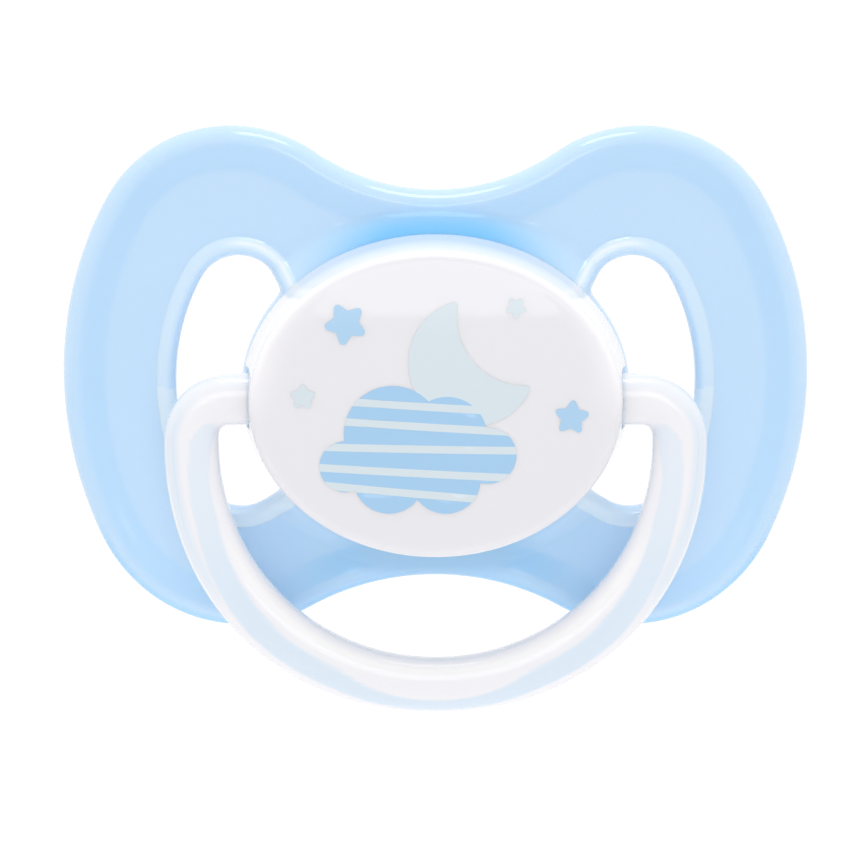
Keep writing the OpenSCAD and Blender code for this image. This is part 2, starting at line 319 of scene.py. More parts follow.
def half_outline(r, x, notch):
    """The outline above the middle, all tangent arcs, from the right: side, corner, notch, corner, side."""
    z = math.sqrt((SIDE_R - r) ** 2 - x ** 2)
    notch_z = (z ** 2 + x ** 2 - (r - notch) ** 2) / (2 * (z + r - notch))
    notch_r = notch_z - notch
    side = math.atan2(z, x)
    turn = math.atan2(notch_z - z, -x)
    return np.vstack([
        arc((0, 0), SIDE_R, SIDE_R, 0, side, SIDE_STEPS),
        arc((x, z), r, r, side, turn, CORNER_STEPS)[1:],
        arc((0, notch_z), notch_r, notch_r, turn - math.pi, -turn, CORNER_STEPS)[1:],
        arc((-x, z), r, r, math.pi - turn, math.pi - side, CORNER_STEPS)[1:],
        arc((0, 0), SIDE_R, SIDE_R, math.pi - side, math.pi, SIDE_STEPS)[1:-1],
    ])


def wing_outline(count):
    """The shield's outline, anticlockwise from the right."""
    loop = np.vstack([half_outline(TOP_R, TOP_X, TOP_NOTCH), -half_outline(LOW_R, LOW_X, LOW_NOTCH)])
    return resample(loop, count) + (0, WING_LIFT)


def vent_outline(side, count):
    """One vent's outline, anticlockwise. Its inner side follows the hub. side is 1 on the right."""
    end_z = math.sqrt((VENT_R - VENT_END_R) ** 2 - (VENT_END_X - VENT_X) ** 2)
    meet = math.atan2(end_z, VENT_END_X - VENT_X)
    last = math.pi / 2 + VENT_SLOPE
    loop = np.vstack([
        arc((VENT_X, 0), VENT_R, VENT_R, -meet, meet, CORNER_STEPS),
        arc((VENT_END_X, end_z), VENT_END_R, VENT_END_R, meet, last, END_STEPS)[1:],
        arc((0, -VENT_LIFT), HUB_A - VENT_GAP, HUB_B - VENT_GAP, VENT_CORNER, -VENT_CORNER, CORNER_STEPS),
        arc((VENT_END_X, -end_z), VENT_END_R, VENT_END_R, -last, -meet, END_STEPS)[:-1],
    ])
    loop = soften(resample(loop, count), VENT_SOFTNESS)
    if side < 0:
        loop = loop[::-1] * (-1, 1)
    return loop + (0, VENT_LIFT)


def hub_depth(points):
    """How far each point lies inside the hub's oval, negative outside it."""
    x, z = points[:, 0], points[:, 1]
    q = np.sqrt((x / HUB_A) ** 2 + (z / HUB_B) ** 2) + 1e-9
    slope = np.sqrt((x / HUB_A ** 2) ** 2 + (z / HUB_B ** 2) ** 2) / q + 1e-9
    return (1 - q) / slope


def lip_roll(from_vent):
    """The height, from 0 to 1, of the round roll along a vent: it ends in a crease LIP_W from the edge."""
    return np.maximum(0, 1 - (from_vent / LIP_W) ** 2) ** LIP_POWER


def shield_faces(points, from_rim, from_vent, from_hole):
    """The y of the shield's front and back at each point."""
    bend = BEND_R - np.sqrt(BEND_R ** 2 - points[:, 0] ** 2)
    rim = 1 - ease(RIM_TOP, RIM_CREASE, from_rim)
    lip = lip_roll(from_vent)
    from_hub = -hub_depth(points)
    front = bend - PLATE_T - RIM_UP * rim - LIP_UP * lip
    back = bend + RIM_BACK * rim + LIP_BACK * lip
    front = front + (-HUB_T - front) * (1 - ease(*HUB_FILLET, from_hub))
    back = back + (bend - back) * (1 - ease(*HUB_BACK_FILLET, from_hub))
    middle = (front + back) / 2
    close = np.ones(len(points))
    for gap, size in ((from_rim, RIM_ROUND), (from_vent, LIP_ROUND), (from_hole, HOLE_ROUND)):
        t = np.clip(gap / size, 0, 1)
        close = np.minimum(close, np.sqrt(1 - (1 - t) ** 2))
    return middle + (front - middle) * close, middle + (back - middle) * close


# Where the shield's colour changes: painted highlights and sheen on its lips and rim, painted shade inside
# the rim, beside the cover and low down, a painted gleam over the vents, and the deeper colour of its thick
# parts. Spans are
# in mm: from an edge, from the middle line (OFF), or below the middle (DROP). The other numbers are strengths
# from
# 0 to 1.
# The vents' lips: painted highlight on the upper ones, painted sheen on the lower ones
LIP_SPAN, LIP_HIGHLIGHT = (0.1, 0.8), 0.47
LOW_LIP_SPAN, LOW_LIP_SHEEN = (-0.1, 0.3), 0.75
LIP_CREASE = (LIP_W - 0.1, LIP_W + 0.05)
# The rim's edge: painted sheen, on the top half only
RIM_SPAN, RIM_TOP_SHEEN = (0, 1.2), 0.12
# painted shade in the valley inside the rim, more of it low down near the middle
VALLEY_IN, VALLEY_OUT, VALLEY_SHADE = (1.0, 1.6), (RIM_CREASE - 0.5, RIM_CREASE), 0.16
LOW_VALLEY_OFF, LOW_VALLEY_SHADE = (6, 13), 0.35
# beside the cover: the thick moulding's deeper colour with painted shade, less of it below
COVE_SPAN, COVE_OFF, COVE_THICK_SHADE, LOW_COVE_SHADE = (0, 2.6), (3, 11), 0.98, 0.3
# painted shade over the lower middle
LOWER_OFF, LOWER_DROP, LOWER_SHADE = (10, 17), (8, 11), 0.16
# painted shade along the rim's edge on the lower wings
EDGE_SPAN, EDGE_DROP, LOW_EDGE_SHADE = (0.05, 0.8), (9, 14), 0.7
SHADE_SPAN, SHADE_OFF, SHADE_DROP = (0.6, 2.6), (4, 10), (10.5, 11.5)
# a painted gleam over the upper vents' lips, where the lights are reflected
GLEAM_AT, GLEAM_W, GLEAM_RISE, GLEAM_OFF, GLEAM_STRENGTH = 1.05, 0.2, (6.9, 8.2), (14.3, 16.3), 0.62


def shield_tone(points, from_rim, from_vent):
    """The strength of each of the shield's tones at each point.

    pale: its thin edges, with a painted highlight on the vents' lips and a painted sheen on the rim's top
    half.
    deep: where it is thick, with painted shade inside the rim, beside the cover and low down. shade: painted
    shade
    under the cover. The last: a painted gleam over the upper vents' lips.
    """
    from_hub = -hub_depth(points)
    off = np.abs(points[:, 0])
    drop = -points[:, 1]
    low = drop > 0
    on_lip = 1 - ease(*LIP_CREASE, from_vent)
    # painted highlight on the upper lips, painted sheen on the lower lips and on the rim's top half
    low_lip_sheen = LOW_LIP_SHEEN * ease(*LOW_LIP_SPAN, from_vent)
    lip = np.where(low, low_lip_sheen, LIP_HIGHLIGHT * ease(*LIP_SPAN, from_vent)) * on_lip
    pale = np.maximum(RIM_TOP_SHEEN * (1 - ease(*RIM_SPAN, from_rim)) * ~low, lip)
    # painted shade: inside the rim, beside the cover (with the thick moulding's deeper colour), over the
    # lower middle and along the low rim edge
    valley = ease(*VALLEY_IN, from_rim) * (1 - ease(*VALLEY_OUT, from_rim))
    low_valley_shade = VALLEY_SHADE + LOW_VALLEY_SHADE * (1 - ease(*LOW_VALLEY_OFF, off))
    valley *= np.where(low, low_valley_shade, VALLEY_SHADE)
    cove_thick_shade = np.where(low, LOW_COVE_SHADE, COVE_THICK_SHADE * (1 - ease(*COVE_SPAN, from_hub)))
    cove_thick_shade = cove_thick_shade * (1 - ease(*COVE_OFF, off)) * (1 - on_lip)
    lower_shade = LOWER_SHADE * (1 - ease(*LOWER_OFF, off)) * ease(*LOWER_DROP, drop)
    edge = LOW_EDGE_SHADE * (1 - ease(*EDGE_SPAN, from_rim)) * ease(*EDGE_DROP, drop)
    shade = low * ease(*SHADE_DROP, drop) * (1 - ease(*SHADE_OFF, off)) * (1 - ease(*SHADE_SPAN, from_hub))
    # painted gleam: a white band along the upper vents' lips, for the lights' reflection
    painted_gleam = GLEAM_STRENGTH * bump(from_vent, GLEAM_AT, GLEAM_W) * ease(*GLEAM_RISE, -drop)
    painted_gleam *= 1 - ease(*GLEAM_OFF, off)
    return pale, np.max([valley, cove_thick_shade, lower_shade, edge], axis=0), shade, painted_gleam


def band_steps(size, turns, *rest):
    """Distances from an edge: close together where it rounds over within size, then the rest as given."""
    return np.concatenate([size * (1 - np.cos(np.linspace(0, math.pi / 2, turns))), rest])


def plate_bands():
    """Each outline of the plate, the way in from it, and the distances of its rows."""
    hole = arc((0, 0), HUB_HOLE_R, HUB_HOLE_R, 0, 2 * math.pi, HOLE_POINTS + 1)[:-1]
    rim_rest = np.linspace(RIM_ROUND, RIM_BAND, 11)[1:]
    # the last rows gather round the crease beside the lip
    lip_rest = LIP_W - np.array([0.6, 0.45, 0.32, 0.21, 0.12, 0.05, 0, -0.06, -0.2, -0.4])
    bands = [(wing_outline(RIM_POINTS), -1, band_steps(RIM_ROUND, RIM_STEPS, *rim_rest))]
    bands += [(vent_outline(side, VENT_POINTS), 1, band_steps(LIP_ROUND, VENT_STEPS, *lip_rest))
              for side in (1, -1)]
    bands += [(hole, 1, band_steps(HOLE_ROUND, HOLE_STEPS, 2 * HOLE_ROUND))]
    return bands


def plate_lattice(loops):
    """A triangular lattice of points between the outermost loop and the others."""
    xs = np.arange(-SIDE_R, SIDE_R, PLATE_PITCH)
    zs = np.arange(-SIDE_R, SIDE_R, PLATE_PITCH * math.sqrt(3) / 2)
    lattice = np.array([(x + (k % 2) * PLATE_PITCH / 2, z) for k, z in enumerate(zs) for x in xs])
    keep = inside(loops[0], lattice)
    for loop in loops:
        keep &= distance_to(loop, lattice) > PLATE_CLEAR
    for loop in loops[1:]:
        keep &= ~inside(loop, lattice)
    return lattice[keep]


def plate_triangles(loops, lattice, ids):
    """Triangles between the loops. ids has a number for each loop point and lattice point."""
    edges, first = [], 0
    for loop in loops:
        edges += [(first + k, first + (k + 1) % len(loop)) for k in range(len(loop))]
        first += len(loop)
    local = np.vstack(loops + [lattice])
    out = geometry.delaunay_2d_cdt([Vector(p) for p in local], edges, [], 0, 1e-7, True)
    triangles = np.array(out[2])
    centres = np.array([[v.x, v.y] for v in out[0]])[triangles].mean(1)
    keep = inside(loops[0], centres)
    for loop in loops[1:]:
        keep &= ~inside(loop, centres)
    original = np.array([o[0] for o in out[3]])
    return [tuple(ids[original[k]] for k in tri) for tri in triangles[keep]]


def shield_shell(material):
    bands = plate_bands()
    flat, faces, edge_rows, loops, ids = [], [], [], [], []
    for loop, way, steps in bands:
        normals = outward(loop)
        start = sum(len(f) for f in flat)
        flat += [loop + normals * way * step for step in steps]
        faces += grid_faces(len(steps), len(loop), close_cols=True, start=start)
        edge_rows.append(range(start, start + len(loop)))
        loops.append(flat[-1])
        ids.append(start + (len(steps) - 1) * len(loop) + np.arange(len(loop)))
    band_points = np.vstack(flat)
    lattice = plate_lattice(loops)
    ids.append(len(band_points) + np.arange(len(lattice)))
    faces += plate_triangles(loops, lattice, np.concatenate(ids))
    points = np.vstack([band_points, lattice])
    rim, *vents, hole = [loop for loop, _, _ in bands]
    from_rim = distance_to(rim, points)
    from_vent = np.minimum(*[distance_to(vent, points) for vent in vents])
    front, back = shield_faces(points, from_rim, from_vent, distance_to(hole, points))
    # the front and the back share their outermost rows
    shared = {i for row in edge_rows for i in row}
    own = [i for i in range(len(points)) if i not in shared]
    back_id = {i: i for i in shared}
    back_id.update((i, len(points) + k) for k, i in enumerate(own))
    verts = [(p[0], y, p[1]) for p, y in zip(points, front)]
    verts += [(points[i, 0], back[i], points[i, 1]) for i in own]
    faces = [tuple(f) for f in faces] + [tuple(back_id[i] for i in reversed(f)) for f in faces]
    shell = new_piece("shield_shell", verts, faces, material)
    # the back, which has no hub on it, keeps only the pale tone of thin edges and painted sheen; its deeper
    # colour, painted shade and painted gleam are left out
    back_share = {"pale": 1, "deep": 0, "shade": 0, "painted_gleam": 0}
    tones = zip(back_share, shield_tone(points, from_rim, from_vent))
    store(shell, {name: np.concatenate([tone, tone[own] * back_share[name]]) for name, tone in tones})
    return shell


def prism(name, outline, low, high, material):
    """A closed solid along x from a closed outline of (y, z) points."""
    verts = [(x, y, z) for x in (low, high) for y, z in outline]
    count = len(outline)
    faces = grid_faces(2, count, close_cols=True)
    faces += [tuple(range(count)), tuple(range(count, 2 * count))]
    return new_piece(name, verts, faces, material)


def hub_wall(material):
    """The oval wall on the hub, in whose two bores the ring's pins turn."""
    a = COVER_A - WALL_IN
    b = COVER_B - WALL_IN
    front = SHIELD_LOW[1]
    foot = -HUB_T + 0.3
    bevel = 0.07
    profile = [(0, foot), (0, front + WALL_ROUND), (bevel, front + bevel), (WALL_ROUND, front)]
    profile += [(WALL_T - inset, y) for inset, y in reversed(profile)]
    turn = np.linspace(0, 2 * math.pi, WALL_POINTS, endpoint=False)
    rows = [((a - inset) * math.cos(t), y, (b - inset) * math.sin(t)) for inset, y in profile for t in turn]
    faces = grid_faces(len(profile), WALL_POINTS, close_rows=True, close_cols=True)
    wall = new_piece("hub_wall", rows, faces, material, sharp=40)
    r = PIN_R + PIN_PLAY
    turn = np.linspace(0, 2 * math.pi, BORE_POINTS, endpoint=False)
    bore = [(PIVOT[1] + r * math.cos(t), PIVOT[2] + r * math.sin(t)) for t in turn]
    cut(wall, prism("bore", bore, -BORE_REACH, BORE_REACH, material))
    finish_shading(wall, 40)
    return wall


# ---- teat ----

def teat_side(inset):
    """The profile from the neck over the throat and bulb to the tip, that far under the skin."""
    bulb_y = TEAT_HIGH[1] - BULB_R
    throat_x = NECK_R + THROAT_R
    throat_y = bulb_y - math.sqrt((BULB_R + THROAT_R) ** 2 - throat_x ** 2)
    meet = math.atan2(bulb_y - throat_y, -throat_x)
    r, q = BULB_R - inset, THROAT_R + inset
    throat = [(throat_x + q * math.cos(t), throat_y + q * math.sin(t))
              for t in np.linspace(math.pi, meet, THROAT_STEPS)]
    bulb = [(r * math.cos(t), bulb_y + r * math.sin(t))
            for t in np.linspace(meet - math.pi, math.pi / 2, BULB_STEPS)]
    return throat + bulb[1:-1] + [(AXIS_R, bulb_y + r)]


def teat_mesh(material):
    flange_r = TEAT_HIGH[0]
    front = TEAT_LOW[1]
    back = -HUB_T
    bevel = 0.08
    root_r = NECK_R + NECK_FLARE
    profile = [(flange_r - FLANGE_ROUND, back), (root_r, back), (root_r, FLARE_FROM)]
    profile += [(NECK_R + NECK_FLARE * (1 - ease(0, 1, t)), FLARE_FROM + FLARE_LONG * t)
                for t in np.linspace(0.1, 1, 10)]
    profile += teat_side(0)
    profile += teat_side(TEAT_WALL)[::-1]
    profile += [(NECK_R - TEAT_WALL, front), (flange_r - FLANGE_ROUND, front)]
    profile += [(flange_r - bevel, front + bevel), (flange_r, front + FLANGE_ROUND)]
    profile += [(flange_r, back - FLANGE_ROUND), (flange_r - bevel, back - bevel)]
    return lathe("teat_bulb", profile, material, sharp=50)


# ---- ring handle ----

def squircle(t, power):
    """A point of a superellipse of radius 1."""
    c, s = math.cos(t), math.sin(t)
    k = (abs(c) ** power + abs(s) ** power) ** (-1 / power)
    return c * k, s * k


def ring_edges():
    """Matching points (x, z) along the ring's outer and inner edges, from the right arm to the left arm."""
    outer_x = RING_HIGH[0]
    outer_w, inner_w = outer_x - CORNER_X, RING_INNER_X - CORNER_X
    outer, inner = [], []
    for x in np.linspace(COVER_A - WALL_IN + ARM_IN, CORNER_X, ARM_STEPS)[:-1]:
        outer.append((x, HALF_ARM))
        inner.append((x, -HALF_ARM))
    for t in np.linspace(math.pi / 2, 0, BEND_STEPS):
        outer.append((CORNER_X + outer_w * math.cos(t), CORNER_Z + (HALF_ARM - CORNER_Z) * math.sin(t)))
        c, s = squircle(t, CORNER_POWER)
        inner.append((CORNER_X + inner_w * c, CORNER_Z - (HALF_ARM + CORNER_Z) * s))
    bottom = CORNER_Z - RING_LOW[2]
    for t in np.linspace(0, -math.pi / 2, BOTTOM_STEPS)[1:]:
        c, s = squircle(t, OUTER_POWER)
        outer.append((outer_x * c, CORNER_Z + bottom * s))
        c, s = squircle(t, INNER_POWER)
        inner.append((RING_INNER_X * c, CORNER_Z + (bottom - BOTTOM_BAR) * s))
    outer, inner = np.array(outer), np.array(inner)
    return [np.vstack([e, (e * (-1, 1))[::-1][1:]]) for e in (outer, inner)]


# A painted bluish band in the milky bar, the blue shield seen in it. At each height (mm from the pivot) it
# lies between LOW and HIGH across the bar, where -1 is the inner edge and 1 the outer one.
BAND_HEIGHT = (-21.5, -20.2, -16.6, -12.2, -9.2, -6.0, -3.2, -1.3, -0.5)
BAND_LOW = (0.48, 0.0, -0.15, -0.35, -0.53, -0.56, -0.8, -0.94, -0.7)
BAND_HIGH = (0.88, 0.72, 0.68, 0.45, 0.27, 0.2, 0.08, -0.35, -0.72)
BAND_BLUE = (1.0, 1.0, 1.0, 0.9, 0.7, 0.65, 0.55, 0.55, 0)
BAND_SOFT = 0.05
# More painted bluish colour from the blue shield seen in the bar: on its outer side, which fades at the top,
# in the line in it and on the outer edge; and painted bluish shade on the arms' roots inside the cover
SIDE_ACROSS, SIDE_HEIGHT, SIDE_BLUE = (0.35, 0.6), (-16, -12), 0.6
SIDE_TOP, SIDE_FADE = (-2.5, 0), 0.6
LINE_AT, LINE_WIDE, LINE_HEIGHT, LINE_TOP, LINE_BLUE = 0.66, 0.035, (-12, -8), (-3, -1), 0.45
OUT_EDGE_ACROSS, OUT_EDGE_HEIGHT = (0.88, 0.98), (-19, -14)
ROOT_X, ROOT_HEIGHT, ROOT_BLUE = (13.9, 14.0), -1, 0.8
# Painted highlights, two bright streaks: the inner one at the bottom and the outer one at the sides
HIGHLIGHT_IN_AT, HIGHLIGHT_IN_W, HIGHLIGHT_IN_HEIGHT = -0.62, 0.16, (-14, -9)
HIGHLIGHT_OUT_AT, HIGHLIGHT_OUT_W, HIGHLIGHT_OUT = 0.93, 0.05, 0.8
HIGHLIGHT_OUT_HEIGHT, HIGHLIGHT_OUT_TOP = (-16, -12), (-7, -4)


def ring_tone(middle, across):
    """Where the milky bar gets painted bluish colour, from the blue shield seen in it and from shade, and
    where it gets painted highlights. across is -1 inside and 1 outside the bend.
    """
    height = middle[:, 1:2]
    low = np.interp(height, BAND_HEIGHT, BAND_LOW)
    high = np.interp(height, BAND_HEIGHT, BAND_HIGH)
    band = ease(low - BAND_SOFT, low + BAND_SOFT, across)
    band = band * (1 - ease(high - BAND_SOFT, high + BAND_SOFT, across))
    band = band * np.interp(height, BAND_HEIGHT, BAND_BLUE)
    side = ease(*SIDE_ACROSS, across) * ease(*SIDE_HEIGHT, height) * (1 - SIDE_FADE * ease(*SIDE_TOP, height))
    line = bump(across, LINE_AT, LINE_WIDE) * ease(*LINE_HEIGHT, height) * (1 - ease(*LINE_TOP, height))
    line = line + ease(*OUT_EDGE_ACROSS, across) * (1 - ease(*OUT_EDGE_HEIGHT, height))
    root = (1 - ease(*ROOT_X, np.abs(middle[:, 0:1]))) * (height > ROOT_HEIGHT)
    # painted highlights along the bar's inner and outer edges
    streak = bump(across, HIGHLIGHT_OUT_AT, HIGHLIGHT_OUT_W) * ease(*HIGHLIGHT_OUT_HEIGHT, height)
    painted_highlight = bump(across, HIGHLIGHT_IN_AT, HIGHLIGHT_IN_W) * (1 - ease(*HIGHLIGHT_IN_HEIGHT, height))
    painted_highlight = painted_highlight + HIGHLIGHT_OUT * streak * (1 - ease(*HIGHLIGHT_OUT_TOP, height))
    # painted bluish colour: the blue shield seen in the bar, and shade on the arms' roots
    painted_blue = np.maximum(np.maximum(band, SIDE_BLUE * side) + LINE_BLUE * line, ROOT_BLUE * root)
    return np.clip(painted_blue, 0, 1), np.clip(painted_highlight, 0, 1)


def ring_mesh(material):
    outer, inner = ring_edges()
    half_depth = (RING_HIGH[1] - RING_LOW[1]) / 2
    turn = np.linspace(0, 2 * math.pi, BAR_POINTS, endpoint=False)
    power = 2 / BAR_POWER
    across = np.sign(np.cos(turn)) * np.abs(np.cos(turn)) ** power
    deep = np.sign(np.sin(turn)) * np.abs(np.sin(turn)) ** power
    middle, half = (outer + inner) / 2, (outer - inner) / 2
    flat = middle[:, None, :] + half[:, None, :] * across[None, :, None]
    verts = [(x, PIVOT[1] + half_depth * d, z + PIVOT[2])
             for row in flat for (x, z), d in zip(row, deep)]
    count, around = len(outer), len(turn)
    faces = grid_faces(count, around, close_cols=True)
    faces += [tuple(range(around)), tuple(range((count - 1) * around, count * around))]
    bar = new_piece("ring_bar", verts, faces, material, sharp=60)
    # painted bluish colour and painted highlights, for the bar's material
    store(bar, dict(zip(("painted_blue", "painted_highlight"), ring_tone(middle, across[None, :]))))
    return bar


def ring_pin(side, material):
    """One pivot pin with a rounded end."""
    inner_x = COVER_A - WALL_IN - WALL_T - PIN_PAST
    shoulder = COVER_A - WALL_IN + PIN_IN_ARM
    profile = [(AXIS_R, inner_x)]
    profile += [(PIN_R - PIN_ROUND * (1 - math.sin(t)), inner_x + PIN_ROUND * (1 - math.cos(t)))
                for t in np.linspace(0, math.pi / 2, PIN_STEPS)]
    profile += [(PIN_R, shoulder), (AXIS_R, shoulder)]
    name = "ring_pin_right" if side > 0 else "ring_pin_left"
    piece = lathe(name, profile, material, steps=BORE_POINTS)
    for v in piece.data.vertices:
        x, y, z = v.co
        v.co = (side * y, x + PIVOT[1] * MM, z + PIVOT[2] * MM)
    if side > 0:
        piece.data.flip_normals()
    return piece


# ---- cover ----

# Painted light: the upper part of the skirt is made brighter, as where light falls on it from above: from so
# far behind the face, and from this height up
LIT_SKIRT_BEHIND, LIT_SKIRT_HEIGHT = (0.5, 0.9), (-2, 3)
# The size of the face's smallest row of points, as a share of the face's
NEAR_0 = 0.002


def face_y(x, z):
    """The y of the cover's domed face."""
    return COVER_FRONT + DOME_R - np.sqrt(DOME_R ** 2 - x ** 2 - z ** 2)


def cover_mesh(material):
    turn = np.linspace(0, 2 * math.pi, COVER_POINTS, endpoint=False)
    c, s = np.cos(turn), np.sin(turn)
    back = -HUB_T
    slope = math.tan(COVER_SLOPE)

    def row(inset, y):
        """An oval ring of points, that much inside the skirt's foot."""
        return np.stack([(COVER_A - inset) * c, np.broadcast_to(y, c.shape), (COVER_B - inset) * s], 1)

    edge_y = COVER_FRONT + COVER_EDGE * (1 - math.sin(COVER_SLOPE))
    edge_in = (back - edge_y) * slope + COVER_EDGE * math.cos(COVER_SLOPE)
    x, z = (COVER_A - edge_in) * c, (COVER_B - edge_in) * s
    rows = [np.stack([x * k, face_y(x * k, z * k), z * k], 1) for k in np.linspace(NEAR_0, 1, FACE_STEPS)]
    rim_y = face_y(x, z)
    for t in np.linspace(0, math.pi / 2 - COVER_SLOPE, EDGE_STEPS)[1:]:
        rows.append(row(edge_in - COVER_EDGE * math.sin(t), rim_y + COVER_EDGE * (1 - math.cos(t))))
    # the skirt's rounded foot, then the inside
    inner = COVER_T + COVER_DEEP * slope
    foot = ((0.03, -0.25), (0.08, -0.07), (0.25, 0), (COVER_T, 0), (inner, -COVER_DEEP))
    rows += [row(inset, back + y) for inset, y in foot]
    for k in (0.94, 0.6, NEAR_0):
        x, z = (COVER_A - inner) * c * k, (COVER_B - inner) * s * k
        rows.append(np.stack([x, face_y(x, z) + COVER_T, z], 1))
    count, around = len(rows), len(turn)
    faces = grid_faces(count, around, close_cols=True)
    faces += [tuple(range(around)), tuple(range((count - 1) * around, count * around))]
    button = new_piece("cover_button", np.vstack(rows), faces, material, sharp=50)
    for side in (1, -1):
        cut(button, slot_cutter(side, material))
    finish_shading(button, 50)
    points = np.array([v.co for v in button.data.vertices]) / MM
    behind, height = points[:, 1] - COVER_FRONT, points[:, 2]
    # painted light on the upper part of the skirt
    store(button, {"skirt": ease(*LIT_SKIRT_BEHIND, behind) * ease(*LIT_SKIRT_HEIGHT, height)})
    return button


def slot_cutter(side, material):
    """The rounded slot in the cover's skirt in which an arm of the ring turns."""
    turn = np.linspace(-math.pi / 2, math.pi / 2, SLOT_STEPS)
    outline = [(PIVOT[1] - SLOT_R * math.cos(t), SLOT_R * math.sin(t)) for t in turn]
    outline += [(SLOT_BACK, SLOT_R), (SLOT_BACK, -SLOT_R)]
    return prism("slot", outline, side * (COVER_A - WALL_IN - 1), side * SLOT_OUT, material)


# ---- print ----

# Discs are (x, z, radius). The moon is one disc less another, with its two points rounded.
MOON = (2.7, 3.25, 4.7)
BITE = (6.6, 6.6, 5.05)
MOON_TIP = 0.3
# The cloud is six discs and the polygon between their centres
CLOUD = ((-3.15, -2.05, 3.6), (0.85, -2.2, 2.95), (3.85, -3.65, 2.1),
         (0.75, -5.45, 2.55), (-3.45, -5.4, 2.6), (-6.65, -4.5, 1.9))
CLOUD_CORE = np.array([lobe[:2] for lobe in CLOUD])
# The pale lines across it, by height at LINE_X and degrees of fall to the right
CLOUD_LINES = ((0.05, 3.5), (-1.45, 3.5), (-3.15, 1), (-4.95, 3), (-6.5, 5))
LINE_X = -1.5
LINE_W = 0.57
# Stars are (x, z, radius, turn in degrees). VALLEY and TIP are shares of the radius.
STAR_VALLEY = 0.63
STAR_TIP = 0.19
BLUE_STARS = ((-6.6, 6.1, 1.55, 27), (10, -0.85, 1.27, -6))
PALE_STARS = ((5.9, 7.3, 0.78, 36), (-9.75, 0.65, 0.95, 0))
INK_T = 0.03
INK_SUNK = 0.02


def in_disc(p, disc):
    return np.hypot(p[:, 0] - disc[0], p[:, 1] - disc[1]) < disc[2]


def in_cloud(p):
    return np.any([in_disc(p, lobe) for lobe in CLOUD], axis=0) | inside(CLOUD_CORE, p)


def line_height(line, x):
    """The height of the middle of one pale line across the cloud, at x."""
    return line[0] - math.tan(math.radians(line[1])) * (x - LINE_X)


def in_line(p):
    hit = np.zeros(len(p), bool)
    for line in CLOUD_LINES:
        half = LINE_W / 2 / math.cos(math.radians(line[1]))
        hit |= np.abs(p[:, 1] - line_height(line, p[:, 0])) < half
    return hit


def disc_loop(disc):
    return arc(disc[:2], disc[2], disc[2], 0, 2 * math.pi, DISC_STEPS + 1)[:-1]


def star_loop(x, z, r, turn):
    tip_r = r * STAR_TIP
    tip_x = r - tip_r
    tenth = math.pi / 5
    valley = np.array([math.cos(tenth), math.sin(tenth)]) * r * STAR_VALLEY
    reach = math.hypot(tip_x - valley[0], valley[1])
    sweep = math.pi / 2 + math.atan2(-valley[1], tip_x - valley[0]) + math.asin(tip_r / reach)
    point = np.vstack([arc((tip_x, 0), tip_r, tip_r, -sweep, sweep, TIP_STEPS), valley])
    loop = []
    for k in range(5):
        t = math.radians(90 + turn + 72 * k)
        c, s = math.cos(t), math.sin(t)
        loop += [(x + p[0] * c - p[1] * s, z + p[0] * s + p[1] * c) for p in point]
    return np.array(loop)


def crescent_loop():
    """Four arcs: the moon's own, the bite's, and one round each of the two points."""
    d = math.hypot(BITE[0] - MOON[0], BITE[1] - MOON[1])
    lean = math.atan2(BITE[1] - MOON[1], BITE[0] - MOON[0])
    reach, clear = MOON[2] - MOON_TIP, BITE[2] + MOON_TIP
    along = (reach ** 2 - clear ** 2 + d ** 2) / (2 * d)
    aside = math.sqrt(reach ** 2 - along ** 2)
    opening, inner = math.atan2(aside, along), math.atan2(aside, along - d)
    turn = 2 * math.pi
    loop = np.vstack([
        arc((0, 0), MOON[2], MOON[2], opening, turn - opening, MOON_STEPS),
        arc((along, -aside), MOON_TIP, MOON_TIP, turn - opening, 1.5 * turn - inner, TIP_STEPS)[1:],
        arc((d, 0), BITE[2], BITE[2], turn - inner, inner, BITE_STEPS)[1:],
        arc((along, aside), MOON_TIP, MOON_TIP, inner - turn / 2, opening, TIP_STEPS)[1:-1],
    ])
    c, s = math.cos(lean), math.sin(lean)
    return loop @ np.array([[c, s], [-s, c]]) + MOON[:2]


def print_mesh(name, loops, lines, kept, material):
    """A thin layer of ink on the domed face, where kept(points) says so, between the loops and lines."""
    points, edges = [], []
    for loop in loops:
        first = len(points)
        points += list(loop)
        edges += [(first + k, first + (k + 1) % len(loop)) for k in range(len(loop))]
    for line in lines:
        first = len(points)
        points += list(line)
        edges += [(first + k, first + k + 1) for k in range(len(line) - 1)]
    low, high = np.min(points, axis=0), np.max(points, axis=0)
    lattice = [(x, z) for x in np.arange(low[0], high[0], INK_PITCH)
               for z in np.arange(low[1], high[1], INK_PITCH)]
    out = geometry.delaunay_2d_cdt([Vector(p) for p in points + lattice], edges, [], 0, 1e-6, False)
    flat = np.array([[v.x, v.y] for v in out[0]])
    triangles = np.array(out[2])
    triangles = triangles[kept(flat[triangles].mean(1))]
    used = sorted(set(triangles.ravel()))
    index = {v: k for k, v in enumerate(used)}
    flat = flat[used]
    triangles = [tuple(index[v] for v in t) for t in triangles]
    face = face_y(flat[:, 0], flat[:, 1])
    n = len(flat)
    verts = [(x, y - INK_T, z) for (x, z), y in zip(flat, face)]
    verts += [(x, y + INK_SUNK, z) for (x, z), y in zip(flat, face)]
    count = {}
    for t in triangles:
        for k in range(3):
            e = (t[k], t[(k + 1) % 3])
            count[e] = count.get(e, 0) + 1
    border = [e for e in count if (e[1], e[0]) not in count]
    faces = triangles + [tuple(v + n for v in reversed(t)) for t in triangles]
    faces += [(b, a, a + n, b + n) for a, b in border]
    return new_piece(name, verts, faces, material, sharp=40)


